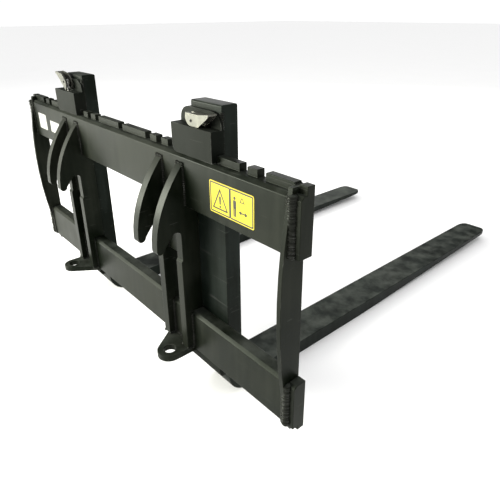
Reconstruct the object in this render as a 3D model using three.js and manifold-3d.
// Pallet fork attachment for a compact loader, in millimetres, +Z up.
// X runs along the two fork bars, Y runs forward along the fork blades.
// Working heights are taken from the underside of the lower bar's lip (z = 0) and depths from
// the front faces of the bars (y = 0). The finished group stands on the undersides of the
// blades, with its origin in the middle of its own footprint.
import * as THREE from "three";
import { mergeVertices } from "three/addons/utils/BufferGeometryUtils.js";
import Module from "manifold-3d";

// ---- driving dimensions ------------------------------------------------------------------

const FIT_GAP = 0.3; // between pieces that touch or are welded
const SLIDE_GAP = 0.4; // between the hooks and the bars they slide on
const OVERCUT = 1; // how far a cutter runs past the face it opens

// fork bars, class 2 hang-on profile
const BAR_LENGTH = 1000;
const BAR_SPAN = 407; // lip edge to lip edge over both bars
const BAR_DEPTH = 25;
const UPPER_BAR_HEIGHT = 102;
const LOWER_BAR_HEIGHT = 92;
const LIP_DEPTH = 14;
const UPPER_LIP_HEIGHT = 12;
const LOWER_LIP_HEIGHT = 8;
const BAR_CHAMFER = 5.5;
const NOTCH_WIDTH = 16.4;
const INNER_NOTCH = 106; // first notch of the inner group, from the centre
const NOTCH_PITCH = 38.5;
const INNER_NOTCH_COUNT = 3;
const OUTER_NOTCH = 375.5;
const OUTER_NOTCH_COUNT = 2;
const REMOVAL_GAP_WIDTH = 114; // missing length of the lower lip, where a fork lifts off

// end plates between the bars
const END_PLATE_THICKNESS = 8;
const BAR_STUB_LENGTH = 15; // bar end outside each end plate
const END_PLATE_TOP_GAP = 3; // plate top below the lip edge
const END_PLATE_DROP = 10; // plate bottom below the lower lip
const END_PLATE_BULGE = 17.5; // how far the rear edge bows out behind the bars

// quick-hitch brackets: a pair of hook plates, a saddle and a lock lug each
const LEFT_BRACKET_X = -231;
const RIGHT_BRACKET_X = 193;
const BRACKET_WIDTH = 82; // over the pair of hook plates
const HOOK_PLATE_THICKNESS = 18;
const HOOK_PLATE_DROP = 28; // hook plate's top below the upper lip
const HOOK_TOP_CHAMFER = 2;
const HOOK_REACH = 61; // hook back behind the rear face of the bars
const HOOK_TIP_DROP = 75.5; // hook tip below the upper bar
const THROAT_DROP = 44; // throat's roof below the upper bar
const THROAT_DEPTH = 12; // throat wall behind the rear face of the bars
const THROAT_CORNER = 10; // radius of the throat's inner corner
const HOOK_TIP_LENGTH = 16; // depth of the hook's downward tip
const HOOK_TIP_HEIGHT = 9;
const RIB_DEPTH = 15; // straight rib behind the rear face of the bars
const RIB_STEP_DROP = 101; // below the upper bar, where the throat wall steps out to the rib
const SADDLE_HEIGHT = 80;
const SADDLE_THICKNESS = 10;
const SADDLE_RECESS = 12; // saddle's rear face in front of the throat wall
const HOOK_CROWN_REACH = 0.38; // crown of the hook's back, as a share of HOOK_REACH
const HOOK_CROWN_DROP = 0.18; // how far the crown has come down, as a share of the back's height
const HOOK_SIDE_DROP = 0.53; // where the back turns upright, as a share of its height
const HOOK_TIP_FLAT = 0.4; // lowest point of the tip, as a share of its depth
const HOOK_TIP_EASE = 2; // rounding at the front of the tip
const THROAT_SLOPE = 0.6; // how far the throat's rear corner slopes, as a share of its radius
const LUG_TOP_Z = 14;
const LUG_THICKNESS = 12;
const LUG_NOSE_RADIUS = 24;
const LUG_HOLE_RADIUS = 12;
const LUG_REACH = 41; // hole centre behind the rear face of the bars

// forks
const LEFT_FORK_X = -232;
const RIGHT_FORK_X = 270;
const FORK_WIDTH = 80;
const SHANK_THICKNESS = 31;
const SHANK_RISE = 73; // shank top above the upper lip
const BLADE_DROP = 76; // blade underside below the lower lip
const BLADE_THICKNESS = 30.5;
const BLADE_REACH = 1068; // blade tip in front of the bars
const BLADE_TAPER_START = 420;
const TIP_THICKNESS = 10;
const TIP_CORNER = 20;
const HEEL_INNER_RADIUS = 28;
const HEEL_OUTER_RADIUS = 46;
const SHANK_TOP_CHAMFER = 2;

// fork hooks
const HOOK_WIDTH = 108;
const HOOK_OFFSET = -9; // hooks overhang the shank more on its left side
const UPPER_HOOK_HEIGHT = 37.5; // hook body above the lip
const ARCH_HEIGHT = 25.5; // rounded back plate above the hook body
const ARCH_THICKNESS = 5;
const ARCH_RADIUS = 28;
const JAW_CORNER = 14; // rounded lower corner of the upper hook's rear jaw
const JAW_LIFT = 1.5; // jaw above the ledge behind the lip
const LOWER_HOOK_DEPTH = 12; // lower hook below the lower lip

// latch of each fork
const LATCH_Y = -13.5; // axis of the lock pin
const LOCK_PIN_RADIUS = 6;
const LOCK_PIN_LENGTH = 22;
const LOCK_PIN_CHAMFER = 1;
const LOCK_PIN_BORE_DEPTH = 15.1;
const LATCH_LIFT = 10; // lock pin travel from the notch to clear of the lip
const PIN_BORE_CLEARANCE = 0.4;
const BUSH_RADIUS = 7.8;
const BUSH_HEIGHT = 5.6;
const BUSH_RECESS = 0.3;
const STEM_RADIUS = 2.4;
const STEM_CLEARANCE = 0.4;
const STEM_LENGTH = 29.3;
const HEAD_RADIUS = 5.5;
const HEAD_DROP = 6.2; // head shoulder below the cross pin's axis
const CROSS_PIN_RADIUS = 2.5;
const CROSS_PIN_CLEARANCE = 0.25;
const CROSS_PIN_OVERHANG = 0.8;
const SPRING_WIRE = 1.2;
const SPRING_COILS = 3.5;
const SPRING_STEPS_PER_COIL = 14;

// latch lever: a channel folded from sheet, turning on the cross pin
const LEVER_SHEET = 2.4;
const LEVER_REAR = 8.9; // rear ear's outer face behind the pin axis
const LEVER_FRONT = 8.1; // front ear's outer face in front of the pin axis
const LEVER_TOP = 11; // web above the cross pin
const LEVER_SEAT = 8.5; // ear's lower edge below the cross pin
const CAM_OFFSET = 1; // cam circle's centre behind the cross pin
const LEVER_FLAT_END = 16.6; // end of the ear's flat lower edge
const LEVER_BEND = 20; // start of the raised handle
const LEVER_LENGTH = 45;
const LEVER_NOSE = 3; // the ear runs out this far before the handle's end
const HANDLE_RISE = 3.5;
const RAISED_ANGLE = 140; // degrees, left lever as it stands
const STEM_SLOT_END = -3.2; // slot in the heel of the web that lets the stem through
const STEM_SLOT_WIDTH = 6.6;

const ROUND_SEGMENTS = 40;
const CURVE_SEGMENTS = 10;
const DOME_STEPS = 8;

// ---- derived places ----------------------------------------------------------------------

const barRear = -BAR_DEPTH;
const ledgeZ = BAR_SPAN - UPPER_LIP_HEIGHT;
const upperBarBottom = BAR_SPAN - UPPER_BAR_HEIGHT;
const hookPlateTop = BAR_SPAN - HOOK_PLATE_DROP;
const hookTipZ = upperBarBottom - HOOK_TIP_DROP;
const throatTopZ = upperBarBottom - THROAT_DROP;
const ribStepZ = upperBarBottom - RIB_STEP_DROP;
const plateOuterX = BAR_LENGTH / 2 - BAR_STUB_LENGTH;
const plateInnerX = plateOuterX - END_PLATE_THICKNESS;
const hookTopZ = BAR_SPAN + UPPER_HOOK_HEIGHT;
const camRadius = LEVER_SEAT + camCentreZ();
const pivotRestZ = hookTopZ + LEVER_SEAT + FIT_GAP;
const parkedNotch = -(LEFT_FORK_X + HOOK_OFFSET); // under the left fork's latch
const forkX = { left: LEFT_FORK_X, right: RIGHT_FORK_X };
const bracketX = { left: LEFT_BRACKET_X, right: RIGHT_BRACKET_X };
const latchRaised = { left: true, right: false };

// Height of the cam circle's centre above the cross pin, chosen so that the cam never digs
// into the hook while the latch lift grows evenly with the lever's angle.
function camCentreZ() {
  const angle = THREE.MathUtils.degToRad(RAISED_ANGLE);
  return (LATCH_LIFT - CAM_OFFSET * Math.sin(angle)) / (1 - Math.cos(angle));
}

// ---- materials ---------------------------------------------------------------------------

const blackPaint = { color: 0x1c1f1c, roughness: 0.38, metalness: 0.1 };
const forkPaint = { color: 0x23282a, roughness: 0.45, metalness: 0.1 };
const zincPlate = { color: 0xd9d7c8, roughness: 0.35, metalness: 0.8 };
const brightSteel = { color: 0xa4a6a8, roughness: 0.3, metalness: 0.9 };

// ---- solids ------------------------------------------------------------------------------

const wasm = await Module();
wasm.setup();

function toSolid(geometry) {
  const bare = geometry.index ? geometry.toNonIndexed() : geometry.clone();
  bare.deleteAttribute("normal");
  bare.deleteAttribute("uv");
  const merged = mergeVertices(bare, 1e-4);
  return new wasm.Manifold(
    new wasm.Mesh({
      numProp: 3,
      vertProperties: merged.attributes.position.array,
      triVerts: new Uint32Array(merged.index.array),
    }),
  );
}

function toGeometry(solid) {
  const mesh = solid.getMesh();
  const geometry = new THREE.BufferGeometry();
  geometry.setAttribute("position", new THREE.BufferAttribute(mesh.vertProperties, 3));
  geometry.setIndex(new THREE.BufferAttribute(mesh.triVerts, 1));
  geometry.computeVertexNormals();
  return geometry;
}

// Frames that lay a flat outline on one of the part's planes before it is extruded.
const planes = {
  side: new THREE.Matrix4().makeBasis(
    new THREE.Vector3(0, 1, 0), new THREE.Vector3(0, 0, 1), new THREE.Vector3(1, 0, 0)),
  rear: new THREE.Matrix4().makeBasis(
    new THREE.Vector3(1, 0, 0), new THREE.Vector3(0, 0, 1), new THREE.Vector3(0, -1, 0)),
  plan: new THREE.Matrix4(),
};

// Extrudes an outline from one station to the next: along X for "side" outlines (y, z),
// along Y for "rear" outlines (x, z) and along Z for "plan" outlines (x, y).
function extrude(shape, plane, from, to) {
  const geometry = new THREE.ExtrudeGeometry(shape, {
    depth: to - from,
    bevelEnabled: false,
    curveSegments: CURVE_SEGMENTS,
  });
  geometry.translate(0, 0, plane === "rear" ? -to : from);
  geometry.applyMatrix4(planes[plane]);
  return toSolid(geometry);
}

function polygon(points) {
  return new THREE.Shape(points.map(([a, b]) => new THREE.Vector2(a, b)));
}

function box(x0, x1, y0, y1, z0, z1) {
  const geometry = new THREE.BoxGeometry(x1 - x0, y1 - y0, z1 - z0);
  geometry.translate((x0 + x1) / 2, (y0 + y1) / 2, (z0 + z1) / 2);
  return toSolid(geometry);
}

function uprightCylinder(radius, x, y, z0, z1) {
  const geometry = new THREE.CylinderGeometry(radius, radius, z1 - z0, ROUND_SEGMENTS);
  geometry.rotateX(Math.PI / 2);
  geometry.translate(x, y, (z0 + z1) / 2);
  return toSolid(geometry);
}

function crossCylinder(radius, x, y0, y1, z) {
  const geometry = new THREE.CylinderGeometry(radius, radius, y1 - y0, ROUND_SEGMENTS);
  geometry.translate(x, (y0 + y1) / 2, z);
  return toSolid(geometry);
}

function turned(profile, x, y, z) {
  const points = profile.map(([r, h]) => new THREE.Vector2(r, h));
  const geometry = new THREE.LatheGeometry(points, ROUND_SEGMENTS);
  geometry.rotateX(Math.PI / 2);
  geometry.translate(x, y, z);
  return toSolid(geometry);
}

const assembly = new THREE.Group();

function addPart(group, name, geometry, finish) {
  const mesh = new THREE.Mesh(geometry, new THREE.MeshStandardMaterial(finish));
  mesh.name = name;
  group.add(mesh);
  return mesh;
}

// ---- carriage ----------------------------------------------------------------------------

function upperBarOutline() {
  return polygon([
    [0, upperBarBottom],
    [0, BAR_SPAN],
    [-LIP_DEPTH, BAR_SPAN],
    [-LIP_DEPTH, ledgeZ],
    [barRear + BAR_CHAMFER, ledgeZ],
    [barRear, ledgeZ - BAR_CHAMFER],
    [barRear, upperBarBottom],
  ]);
}

function lowerBarOutline() {
  return polygon([
    [0, 0],
    [0, LOWER_BAR_HEIGHT],
    [barRear + BAR_CHAMFER, LOWER_BAR_HEIGHT],
    [barRear, LOWER_BAR_HEIGHT - BAR_CHAMFER],
    [barRear, LOWER_LIP_HEIGHT],
    [-LIP_DEPTH, LOWER_LIP_HEIGHT],
    [-LIP_DEPTH, 0],
  ]);
}

function notchCentres() {
  const right = [parkedNotch];
  for (let i = 0; i < INNER_NOTCH_COUNT; i++) right.push(INNER_NOTCH + i * NOTCH_PITCH);
  for (let i = 0; i < OUTER_NOTCH_COUNT; i++) right.push(OUTER_NOTCH + i * NOTCH_PITCH);
  return [0, ...right, ...right.map((x) => -x)];
}

function buildBars() {
  const barEnd = plateInnerX - FIT_GAP;
  let upper = extrude(upperBarOutline(), "side", -barEnd, barEnd);
  for (const x of notchCentres()) {
    const half = NOTCH_WIDTH / 2;
    upper = upper.subtract(
      box(x - half, x + half, -LIP_DEPTH - OVERCUT, OVERCUT, ledgeZ, BAR_SPAN + OVERCUT));
  }
  addPart(assembly, "upper_bar", toGeometry(upper), blackPaint);

  const half = REMOVAL_GAP_WIDTH / 2;
  const lower = extrude(lowerBarOutline(), "side", -barEnd, barEnd).subtract(
    box(-half, half, barRear - OVERCUT, OVERCUT, -OVERCUT, LOWER_LIP_HEIGHT));
  addPart(assembly, "lower_bar", toGeometry(lower), blackPaint);
}

function buildBarEnds(side, sign) {
  const near = plateOuterX + FIT_GAP;
  const far = BAR_LENGTH / 2;
  const from = sign > 0 ? near : -far;
  const to = sign > 0 ? far : -near;
  const upper = extrude(upperBarOutline(), "side", from, to);
  const lower = extrude(lowerBarOutline(), "side", from, to);
  addPart(assembly, "upper_bar_end_" + side, toGeometry(upper), blackPaint);
  addPart(assembly, "lower_bar_end_" + side, toGeometry(lower), blackPaint);
}

// The rear edge is one shallow curve: flush with the upper bar at the top, furthest back
// half way down, and drawn in under the lower bar.
function endPlateOutline() {
  const topZ = BAR_SPAN - END_PLATE_TOP_GAP;
  const bottomY = barRear + END_PLATE_DROP;
  const controlY = 2 * (barRear - END_PLATE_BULGE) - (barRear + bottomY) / 2;
  const shape = new THREE.Shape();
  shape.moveTo(0, 0);
  shape.lineTo(0, topZ);
  shape.lineTo(barRear, topZ);
  shape.quadraticCurveTo(controlY, (topZ - END_PLATE_DROP) / 2, bottomY, -END_PLATE_DROP);
  shape.lineTo(-LIP_DEPTH, -END_PLATE_DROP);
  return shape;
}

function buildEndPlate(side, sign) {
  const from = sign > 0 ? plateInnerX : -plateOuterX;
  const plate = extrude(endPlateOutline(), "side", from, from + END_PLATE_THICKNESS);
  addPart(assembly, "end_plate_" + side, toGeometry(plate), blackPaint);
}

// A hook plate: a long convex back sweeping down to a round tip, the open throat in front of
// it, and a straight rib running on down to the lock lug. Between the bars the plate reaches
// forward to their front faces.
function hookPlateOutline() {
  const front = barRear - FIT_GAP;
  const backY = barRear - HOOK_REACH;
  const tipFrontY = backY + HOOK_TIP_LENGTH;
  const tipTopZ = hookTipZ + HOOK_TIP_HEIGHT;
  const wallY = barRear - THROAT_DEPTH;
  const ribY = barRear - RIB_DEPTH;
  const footZ = LUG_TOP_Z + FIT_GAP;
  const roofY = wallY - THROAT_CORNER;
  const slopeZ = throatTopZ - THROAT_SLOPE * THROAT_CORNER;
  const drop = hookPlateTop - hookTipZ;
  const shape = new THREE.Shape();
  shape.moveTo(front, footZ);
  shape.lineTo(front, LOWER_BAR_HEIGHT + FIT_GAP);
  shape.lineTo(-FIT_GAP, LOWER_BAR_HEIGHT + FIT_GAP);
  shape.lineTo(-FIT_GAP, upperBarBottom - FIT_GAP);
  shape.lineTo(front, upperBarBottom - FIT_GAP);
  shape.lineTo(front, hookPlateTop);
  shape.lineTo(front - HOOK_TOP_CHAMFER, hookPlateTop - HOOK_TOP_CHAMFER);
  shape.bezierCurveTo(
    barRear - HOOK_CROWN_REACH * HOOK_REACH, hookPlateTop - HOOK_CROWN_DROP * drop,
    backY, hookPlateTop - HOOK_SIDE_DROP * drop,
    backY, tipTopZ);
  shape.quadraticCurveTo(backY, hookTipZ, backY + HOOK_TIP_FLAT * HOOK_TIP_LENGTH, hookTipZ);
  shape.quadraticCurveTo(tipFrontY - HOOK_TIP_EASE, hookTipZ, tipFrontY, tipTopZ);
  shape.lineTo(roofY - THROAT_CORNER, slopeZ);
  shape.quadraticCurveTo(roofY - THROAT_CORNER / 2, throatTopZ, roofY, throatTopZ);
  shape.quadraticCurveTo(wallY, throatTopZ, wallY, throatTopZ - THROAT_CORNER);
  shape.lineTo(wallY, ribStepZ);
  shape.lineTo(ribY, ribStepZ - RIB_DEPTH + THROAT_DEPTH);
  shape.lineTo(ribY, footZ);
  return shape;
}

// The lock lug: a flat tongue across both ribs whose round nose sits toward the outer rib. Its
// outer flank is straight; its inner flank slants in and meets the nose at a tangent. The
// loader's locking bolt goes through its hole.
function lugOutline(x, noseX, outward) {
  const front = barRear - FIT_GAP;
  const holeY = barRear - LUG_REACH;
  const run = BRACKET_WIDTH - LUG_NOSE_RADIUS;
  const reach = front - holeY;
  const tangent = Math.acos(LUG_NOSE_RADIUS / Math.hypot(run, reach)) - Math.atan2(reach, run);
  const outerAngle = outward > 0 ? 2 * Math.PI : Math.PI;
  const innerAngle = outward > 0 ? Math.PI + tangent : 2 * Math.PI - tangent;
  const shape = new THREE.Shape();
  shape.moveTo(x - outward * BRACKET_WIDTH / 2, front);
  shape.lineTo(x + outward * BRACKET_WIDTH / 2, front);
  shape.absarc(noseX, holeY, LUG_NOSE_RADIUS, outerAngle, innerAngle, outward > 0);
  return shape;
}

function buildBracket(side, outward) {
  const x = bracketX[side];
  const half = BRACKET_WIDTH / 2;
  const outline = hookPlateOutline();
  const starts = { left: x - half, right: x + half - HOOK_PLATE_THICKNESS };
  for (const [which, start] of Object.entries(starts)) {
    const plate = extrude(outline, "side", start, start + HOOK_PLATE_THICKNESS);
    addPart(assembly, "hook_plate_" + side + "_" + which, toGeometry(plate), blackPaint);
  }
  const inner = half - HOOK_PLATE_THICKNESS - FIT_GAP;
  const saddleRear = barRear - THROAT_DEPTH + SADDLE_RECESS;
  const saddle = box(
    x - inner, x + inner,
    saddleRear, saddleRear + SADDLE_THICKNESS,
    ribStepZ, ribStepZ + SADDLE_HEIGHT);
  addPart(assembly, "throat_saddle_" + side, toGeometry(saddle), blackPaint);
  const noseX = x + outward * (half - LUG_NOSE_RADIUS);
  const lugBottomZ = LUG_TOP_Z - LUG_THICKNESS;
  const lug = extrude(lugOutline(x, noseX, outward), "plan", lugBottomZ, LUG_TOP_Z)
    .subtract(uprightCylinder(LUG_HOLE_RADIUS, noseX, barRear - LUG_REACH,
      lugBottomZ - OVERCUT, LUG_TOP_Z + OVERCUT));
  addPart(assembly, "lock_lug_" + side, toGeometry(lug), blackPaint);
}

// ---- forks -------------------------------------------------------------------------------

function forkSideOutline() {
  const back = FIT_GAP;
  const front = back + SHANK_THICKNESS;
  const bottom = -BLADE_DROP;
  const top = BAR_SPAN + SHANK_RISE;
  const bladeTop = bottom + BLADE_THICKNESS;
  const shape = new THREE.Shape();
  shape.moveTo(back, bottom + HEEL_OUTER_RADIUS);
  shape.absarc(back + HEEL_OUTER_RADIUS, bottom + HEEL_OUTER_RADIUS, HEEL_OUTER_RADIUS,
    Math.PI, 1.5 * Math.PI);
  shape.lineTo(BLADE_TAPER_START, bottom);
  shape.lineTo(BLADE_REACH, bladeTop - TIP_THICKNESS);
  shape.lineTo(BLADE_REACH, bladeTop);
  shape.absarc(front + HEEL_INNER_RADIUS, bladeTop + HEEL_INNER_RADIUS, HEEL_INNER_RADIUS,
    1.5 * Math.PI, Math.PI, true);
  shape.lineTo(front, top - SHANK_TOP_CHAMFER);
  shape.lineTo(front - SHANK_TOP_CHAMFER, top);
  shape.lineTo(back + SHANK_TOP_CHAMFER, top);
  shape.lineTo(back, top - SHANK_TOP_CHAMFER);
  return shape;
}

function forkPlanOutline(x) {
  const half = FORK_WIDTH / 2;
  const shape = new THREE.Shape();
  shape.moveTo(x - half, -OVERCUT);
  shape.lineTo(x + half, -OVERCUT);
  shape.lineTo(x + half, BLADE_REACH - 2 * TIP_CORNER);
  shape.quadraticCurveTo(x + half, BLADE_REACH, x + half - TIP_CORNER, BLADE_REACH);
  shape.lineTo(x - half + TIP_CORNER, BLADE_REACH);
  shape.quadraticCurveTo(x - half, BLADE_REACH, x - half, BLADE_REACH - 2 * TIP_CORNER);
  return shape;
}

function buildFork(side) {
  const x = forkX[side];
  const top = BAR_SPAN + SHANK_RISE;
  const fork = extrude(forkSideOutline(), "side", x - FORK_WIDTH / 2, x + FORK_WIDTH / 2)
    .intersect(extrude(forkPlanOutline(x), "plan", -BLADE_DROP - OVERCUT, top + OVERCUT));
  addPart(assembly, "fork_" + side, toGeometry(fork), forkPaint);
}

function hookSpan(side) {
  const x = forkX[side] + HOOK_OFFSET;
  return { x, left: x - HOOK_WIDTH / 2, right: x + HOOK_WIDTH / 2 };
}

function archOutline(span) {
  const top = hookTopZ + ARCH_HEIGHT;
  const shape = new THREE.Shape();
  shape.moveTo(span.left, hookTopZ - OVERCUT);
  shape.lineTo(span.right, hookTopZ - OVERCUT);
  shape.lineTo(span.right, hookTopZ);
  shape.quadraticCurveTo(span.right, top, span.right - ARCH_RADIUS, top);
  shape.lineTo(span.left + ARCH_RADIUS, top);
  shape.quadraticCurveTo(span.left, top, span.left, hookTopZ);
  return shape;
}

function jawOutline(span) {
  const bottom = ledgeZ + JAW_LIFT;
  const shape = new THREE.Shape();
  shape.moveTo(span.left + JAW_CORNER, bottom);
  shape.lineTo(span.right, bottom);
  shape.lineTo(span.right, hookTopZ);
  shape.lineTo(span.left, hookTopZ);
  shape.lineTo(span.left, bottom + JAW_CORNER);
  shape.quadraticCurveTo(span.left, bottom, span.left + JAW_CORNER, bottom);
  return shape;
}

function buildUpperHook(side) {
  const span = hookSpan(side);
  const jawFront = -LIP_DEPTH - SLIDE_GAP;
  const bush = hookTopZ - BUSH_HEIGHT - BUSH_RECESS;
  const hook = extrude(jawOutline(span), "rear", barRear, jawFront)
    .add(box(span.left, span.right, jawFront - OVERCUT, 0, BAR_SPAN + SLIDE_GAP, hookTopZ))
    .add(extrude(archOutline(span), "rear", -ARCH_THICKNESS, 0))
    .subtract(uprightCylinder(LOCK_PIN_RADIUS + PIN_BORE_CLEARANCE, span.x, LATCH_Y,
      ledgeZ - OVERCUT, bush + OVERCUT))
    .subtract(uprightCylinder(BUSH_RADIUS + FIT_GAP, span.x, LATCH_Y, bush - FIT_GAP,
      hookTopZ + OVERCUT));
  addPart(assembly, "upper_hook_" + side, toGeometry(hook), forkPaint);
}

function buildLowerHook(side) {
  const span = hookSpan(side);
  const jawFront = -LIP_DEPTH - SLIDE_GAP;
  const jawTop = LOWER_LIP_HEIGHT - SLIDE_GAP;
  const outline = polygon([
    [0, -LOWER_HOOK_DEPTH],
    [0, -SLIDE_GAP],
    [jawFront, -SLIDE_GAP],
    [jawFront, jawTop],
    [barRear, jawTop],
    [barRear, -LOWER_HOOK_DEPTH / 2],
    [barRear + LOWER_HOOK_DEPTH / 2, -LOWER_HOOK_DEPTH],
  ]);
  const hook = extrude(outline, "side", span.left, span.right);
  addPart(assembly, "lower_hook_" + side, toGeometry(hook), forkPaint);
}

// ---- latches -----------------------------------------------------------------------------

class Helix extends THREE.Curve {
  constructor(radius, height, coils) {
    super();
    Object.assign(this, { radius, height, coils });
  }
  getPoint(t, target = new THREE.Vector3()) {
    const angle = 2 * Math.PI * this.coils * t;
    return target.set(
      this.radius * Math.cos(angle), this.radius * Math.sin(angle), this.height * t);
  }
}

function buildLockPin(side) {
  const { x } = hookSpan(side);
  const bottom = BAR_SPAN + SLIDE_GAP + FIT_GAP;
  const r = LOCK_PIN_RADIUS;
  const bore = STEM_RADIUS + STEM_CLEARANCE;
  const top = LOCK_PIN_LENGTH;
  const pin = turned([
    [0, 0], [r - LOCK_PIN_CHAMFER, 0], [r, LOCK_PIN_CHAMFER], [r, top], [bore, top],
    [bore, top - LOCK_PIN_BORE_DEPTH],
    [0, top - LOCK_PIN_BORE_DEPTH],
  ], x, LATCH_Y, bottom);
  addPart(assembly, "lock_pin_" + side, toGeometry(pin), brightSteel);

  const springBottom = bottom + top + FIT_GAP + SPRING_WIRE / 2;
  const bushBottom = hookTopZ - BUSH_RECESS - BUSH_HEIGHT;
  const springTop = bushBottom - FIT_GAP - SPRING_WIRE / 2;
  const path = new Helix(r - SPRING_WIRE, springTop - springBottom, SPRING_COILS);
  const wire = new THREE.Shape();
  wire.absarc(0, 0, SPRING_WIRE / 2, 0, 2 * Math.PI);
  const spring = new THREE.ExtrudeGeometry(wire, {
    steps: Math.round(SPRING_STEPS_PER_COIL * SPRING_COILS), curveSegments: 4, extrudePath: path,
  });
  spring.translate(x, LATCH_Y, springBottom);
  addPart(assembly, "pin_spring_" + side, toGeometry(toSolid(spring)), brightSteel);

  const bush = turned([
    [bore, 0], [BUSH_RADIUS, 0], [BUSH_RADIUS, BUSH_HEIGHT], [bore, BUSH_HEIGHT], [bore, 0],
  ], x, LATCH_Y, bushBottom);
  addPart(assembly, "spring_bush_" + side, toGeometry(bush), brightSteel);
}

// Everything of the latch that rises when the lever turns, in a group placed at the cross pin.
function buildLatchHead(side) {
  const group = new THREE.Group();
  const lift = latchRaised[side] ? LATCH_LIFT : 0;
  group.position.set(hookSpan(side).x, LATCH_Y, pivotRestZ + lift);
  assembly.add(group);

  const stem = HEAD_DROP + STEM_LENGTH;
  const dome = Array.from({ length: DOME_STEPS + 1 }, (_, i) => {
    const angle = (i / DOME_STEPS) * (Math.PI / 2);
    return [HEAD_RADIUS * Math.cos(angle), HEAD_RADIUS * Math.sin(angle)];
  });
  dome[DOME_STEPS][0] = 0;
  const head = turned([
    [0, -stem], [STEM_RADIUS, -stem], [STEM_RADIUS, -HEAD_DROP], [HEAD_RADIUS, -HEAD_DROP],
    ...dome,
  ], 0, 0, 0);
  const hole = CROSS_PIN_RADIUS + CROSS_PIN_CLEARANCE;
  const drilled = head.subtract(crossCylinder(hole, 0, -2 * HEAD_RADIUS, 2 * HEAD_RADIUS, 0));
  addPart(group, "latch_head_" + side, toGeometry(drilled), brightSteel);

  const crossPin = crossCylinder(
    CROSS_PIN_RADIUS, 0, -LEVER_REAR - CROSS_PIN_OVERHANG, LEVER_FRONT, 0);
  addPart(group, "cross_pin_" + side, toGeometry(crossPin), brightSteel);

  const lever = addPart(group, "latch_lever_" + side, toGeometry(leverSolid()), zincPlate);
  if (latchRaised[side]) lever.rotation.y = -THREE.MathUtils.degToRad(RAISED_ANGLE);
}

function leverSolid() {
  const centreZ = camCentreZ();
  const topAngle = Math.PI - Math.asin((LEVER_TOP - centreZ) / camRadius);
  const ear = new THREE.Shape();
  ear.moveTo(LEVER_FLAT_END, -LEVER_SEAT);
  ear.lineTo(LEVER_LENGTH - LEVER_NOSE, LEVER_TOP - LEVER_SHEET);
  ear.lineTo(LEVER_LENGTH, LEVER_TOP + HANDLE_RISE - LEVER_SHEET);
  ear.lineTo(LEVER_LENGTH, LEVER_TOP + HANDLE_RISE);
  ear.lineTo(LEVER_BEND, LEVER_TOP);
  ear.absarc(-CAM_OFFSET, centreZ, camRadius, topAngle, 1.5 * Math.PI);
  const inner = polygon([
    [-LEVER_LENGTH, -LEVER_LENGTH],
    [2 * LEVER_LENGTH, -LEVER_LENGTH],
    [2 * LEVER_LENGTH, LEVER_TOP + HANDLE_RISE - LEVER_SHEET],
    [LEVER_LENGTH, LEVER_TOP + HANDLE_RISE - LEVER_SHEET],
    [LEVER_BEND, LEVER_TOP - LEVER_SHEET],
    [-LEVER_LENGTH, LEVER_TOP - LEVER_SHEET],
  ]);
  const hole = CROSS_PIN_RADIUS + CROSS_PIN_CLEARANCE;
  return extrude(ear, "rear", -LEVER_REAR, LEVER_FRONT)
    .subtract(extrude(inner, "rear", -LEVER_REAR + LEVER_SHEET, LEVER_FRONT - LEVER_SHEET))
    .subtract(crossCylinder(hole, 0, -2 * LEVER_REAR, 2 * LEVER_FRONT, 0))
    .subtract(box(-LEVER_LENGTH, STEM_SLOT_END, -STEM_SLOT_WIDTH / 2, STEM_SLOT_WIDTH / 2,
      LEVER_TOP - LEVER_SHEET - OVERCUT, LEVER_TOP + OVERCUT));
}

// ---- assembly ----------------------------------------------------------------------------

buildBars();
for (const [side, sign] of [["left", -1], ["right", 1]]) {
  buildBarEnds(side, sign);
  buildEndPlate(side, sign);
  buildBracket(side, sign);
  buildFork(side);
  buildUpperHook(side);
  buildLowerHook(side);
  buildLockPin(side);
  buildLatchHead(side);
}

// Stand the assembly on its blades, centred over its own footprint.
const bounds = new THREE.Box3().setFromObject(assembly, true);
const middle = bounds.getCenter(new THREE.Vector3());
assembly.position.set(-middle.x, -middle.y, -bounds.min.z);

const palletForks = new THREE.Group();
palletForks.add(assembly);
export default palletForks;
